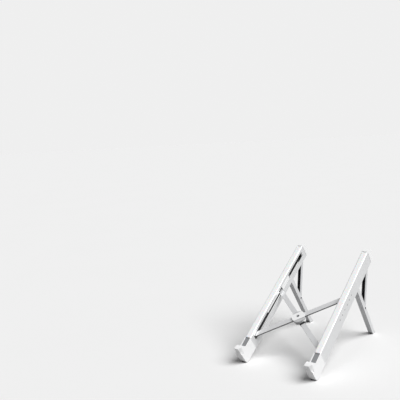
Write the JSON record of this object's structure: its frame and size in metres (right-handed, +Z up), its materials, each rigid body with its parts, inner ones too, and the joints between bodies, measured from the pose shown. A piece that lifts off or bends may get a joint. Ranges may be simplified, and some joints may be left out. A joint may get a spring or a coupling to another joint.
{
  "type": "laptop stand",
  "caption": "Folding laptop stand: sloped rails with hooks and grip strips, joined by a folding cross, each propped by a hinged leg and strut.",
  "frame": {"origin": "on the desk, under the middle of the opened stand", "axes": "+X to the right across the two rails, +Y to the rear, towards the raised end, +Z up"},
  "size_m": [0.1622, 0.2854, 0.1863],
  "materials": {
    "rail_metal": "fine bead-blasted, clear anodised",
    "bar_metal": "satin anodised",
    "white_plastic": "fine spark-eroded texture",
    "dark_plastic": "plain moulded",
    "white_silicone": "matt silicone",
    "grey_silicone": "matt silicone",
    "dark_rubber": "matt rubber",
    "black_rubber": "matt rubber",
    "steel": "turned"
  },
  "bodies": {
    "left_rail": {"left_rail": "rail_metal", "left_rail_pad": "white_silicone", "left_front_cap": "white_plastic", "left_front_rest": "grey_silicone", "left_front_foot": "grey_silicone", "left_rear_cap": "white_plastic", "left_hinge_block": "dark_plastic", "left_hinge_pin": "steel", "left_guide_strip": "white_plastic", "left_strut_bracket": "bar_metal", "left_strut_pin": "steel"},
    "upper_bar": {"bar_upper": "bar_metal", "hub_top": "white_plastic", "hub_washer": "white_plastic", "hub_screw": "steel", "hub_nut": "steel"},
    "lower_bar": {"bar_lower": "bar_metal", "hub_bottom": "white_plastic", "stop_band": "black_rubber"},
    "right_rail": {"right_rail": "rail_metal", "right_rail_pad": "white_silicone", "right_front_cap": "white_plastic", "right_front_rest": "grey_silicone", "right_front_foot": "grey_silicone", "right_rear_cap": "white_plastic", "right_hinge_block": "dark_plastic", "right_hinge_pin": "steel", "right_guide_strip": "white_plastic", "right_strut_bracket": "bar_metal", "right_strut_pin": "steel"},
    "left_carriage": {"left_carriage": "white_plastic", "left_carriage_pin": "steel"},
    "right_carriage": {"right_carriage": "white_plastic", "right_carriage_pin": "steel"},
    "left_strut": {"left_strut": "bar_metal", "left_leg_pin": "steel"},
    "left_leg": {"left_leg": "rail_metal", "left_leg_foot": "dark_rubber", "left_slider_rivet": "steel"},
    "left_slider": {"left_leg_slider": "bar_metal", "left_detent_ball": "steel"},
    "right_strut": {"right_strut": "bar_metal", "right_leg_pin": "steel"},
    "right_leg": {"right_leg": "rail_metal", "right_leg_foot": "dark_rubber", "right_slider_rivet": "steel"},
    "right_slider": {"right_leg_slider": "bar_metal", "right_detent_ball": "steel"}
  },
  "joints": [
    {"name": "width_fold", "type": "hinge", "parent": "left_rail", "child": "upper_bar", "pos_m": [-0.0716, -0.08919, 0.04332], "axis": [0, -0.5592, 0.829], "range_deg": [0, 39.6]},
    {"name": "hub_pivot", "type": "hinge", "parent": "upper_bar", "child": "lower_bar", "pos_m": [0, -0.03847, 0.07513], "axis": [0, -0.5592, 0.829], "range_deg": [-80.2, 1]},
    {"name": "right_rail_pivot", "type": "hinge", "parent": "lower_bar", "child": "right_rail", "pos_m": [0.0716, -0.08696, 0.04001], "axis": [0, -0.5592, 0.829], "range_deg": [-1, 40.6]},
    {"name": "left_carriage_pivot", "type": "hinge", "parent": "lower_bar", "child": "left_carriage", "pos_m": [-0.0716, 0.01226, 0.10693], "axis": [0, -0.5592, 0.829], "range_deg": [-1, 40.6]},
    {"name": "right_carriage_pivot", "type": "hinge", "parent": "upper_bar", "child": "right_carriage", "pos_m": [0.0716, 0.01002, 0.11024], "axis": [0, -0.5592, 0.829], "range_deg": [-40.6, 1]},
    {"name": "left_leg_fold", "type": "hinge", "parent": "left_rail", "child": "left_strut", "pos_m": [-0.0745, 0.10579, 0.16037], "axis": [-1, 0, 0], "range_deg": [0, 47]},
    {"name": "left_knee", "type": "hinge", "parent": "left_strut", "child": "left_leg", "pos_m": [-0.0745, 0.09278, 0.0686], "axis": [-1, 0, 0], "range_deg": [-138, 1]},
    {"name": "left_slider_pivot", "type": "hinge", "parent": "left_leg", "child": "left_slider", "pos_m": [-0.0745, 0.05263, 0.12813], "axis": [-1, 0, 0], "range_deg": [-1, 91]},
    {"name": "right_leg_fold", "type": "hinge", "parent": "right_rail", "child": "right_strut", "pos_m": [0.0745, 0.10579, 0.16037], "axis": [-1, 0, 0], "range_deg": [0, 47]},
    {"name": "right_knee", "type": "hinge", "parent": "right_strut", "child": "right_leg", "pos_m": [0.0745, 0.09278, 0.0686], "axis": [-1, 0, 0], "range_deg": [-138, 1]},
    {"name": "right_slider_pivot", "type": "hinge", "parent": "right_leg", "child": "right_slider", "pos_m": [0.0745, 0.05263, 0.12813], "axis": [-1, 0, 0], "range_deg": [-1, 91]}
  ],
  "couplings": [
    {"joint": "hub_pivot", "follows": "width_fold", "ratio": -2},
    {"joint": "right_rail_pivot", "follows": "width_fold", "ratio": 1},
    {"joint": "left_carriage_pivot", "follows": "width_fold", "ratio": 1},
    {"joint": "right_carriage_pivot", "follows": "width_fold", "ratio": -1},
    {"joint": "left_knee", "follows": "left_leg_fold", "ratio": -2.9149},
    {"joint": "left_slider_pivot", "follows": "left_leg_fold", "ratio": 1.9149},
    {"joint": "right_knee", "follows": "right_leg_fold", "ratio": -2.9149},
    {"joint": "right_slider_pivot", "follows": "right_leg_fold", "ratio": 1.9149}
  ]
}
